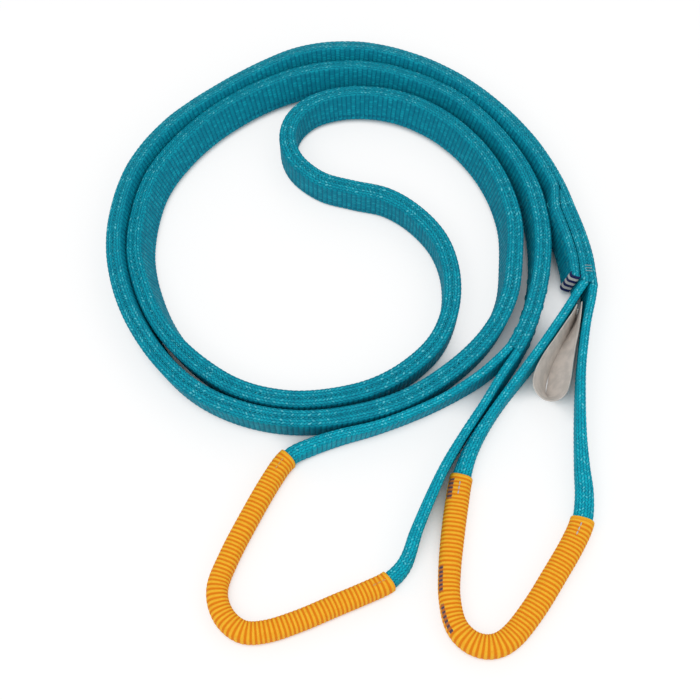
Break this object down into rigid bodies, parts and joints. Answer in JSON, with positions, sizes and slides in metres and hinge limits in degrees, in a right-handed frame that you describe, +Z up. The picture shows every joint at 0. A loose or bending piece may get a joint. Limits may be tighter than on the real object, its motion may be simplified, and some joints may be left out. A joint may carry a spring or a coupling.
{
  "type": "flat web sling",
  "caption": "Flat woven lifting sling with a sleeved eye at each end, folded double and coiled on its edge, with its two eyes lying together.",
  "frame": {"origin": "centre of the bounding box's lower face, on the surface that the coil lies on", "axes": "+Z up from that surface, +Y from the two eyes to the far side of the coil, +X towards the crotch that the label is sewn into"},
  "size_m": [0.369, 0.518, 0.0296],
  "materials": {
    "teal_web": "thick ribbed polyester web, matte, with lighter flecks along both edges",
    "orange_sleeve": "ribbed woven wear sleeve, matte",
    "label_tape": "smooth plain woven tape, bare",
    "teal_thread": "bonded sewing thread of the web's own colour",
    "dark_thread": "bonded sewing thread, slightly glossy",
    "light_thread": "bonded sewing thread, slightly glossy"
  },
  "bodies": {
    "coil": {"body_ply_one": "teal_web", "body_ply_two": "teal_web", "lap_tail": "teal_web", "end_whipping_dark": "dark_thread", "end_whipping_light": "light_thread", "tail_end_binding": "dark_thread", "splice_a_stitches": "teal_thread", "splice_b_stitches": "teal_thread", "crotch_b_tack": "light_thread"},
    "eye_a": {"eye_a_web": "teal_web", "eye_a_sleeve": "orange_sleeve", "sleeve_a_tacks": "light_thread"},
    "eye_b": {"eye_b_web": "teal_web", "eye_b_sleeve": "orange_sleeve", "sleeve_b_tacks": "light_thread"},
    "label": {"label_strip": "label_tape", "label_bar_tack": "light_thread"}
  },
  "joints": [
    {"name": "eye_a_lift", "type": "hinge", "parent": "coil", "child": "eye_a", "pos_m": [0.1191, -0.02569, 0.0285], "axis": [-0.6982, 0.6982, 0.158], "range_deg": [0, 80]},
    {"name": "eye_b_lift", "type": "hinge", "parent": "coil", "child": "eye_b", "pos_m": [0.1751, 0.03031, 0.0285], "axis": [-0.9544, 0.2737, 0.1191], "range_deg": [0, 80]},
    {"name": "label_lift", "type": "hinge", "parent": "eye_b", "child": "label", "pos_m": [0.1751, 0.03031, 0.0285], "axis": [-0.9544, 0.2737, 0.1191], "range_deg": [0, 45]}
  ]
}
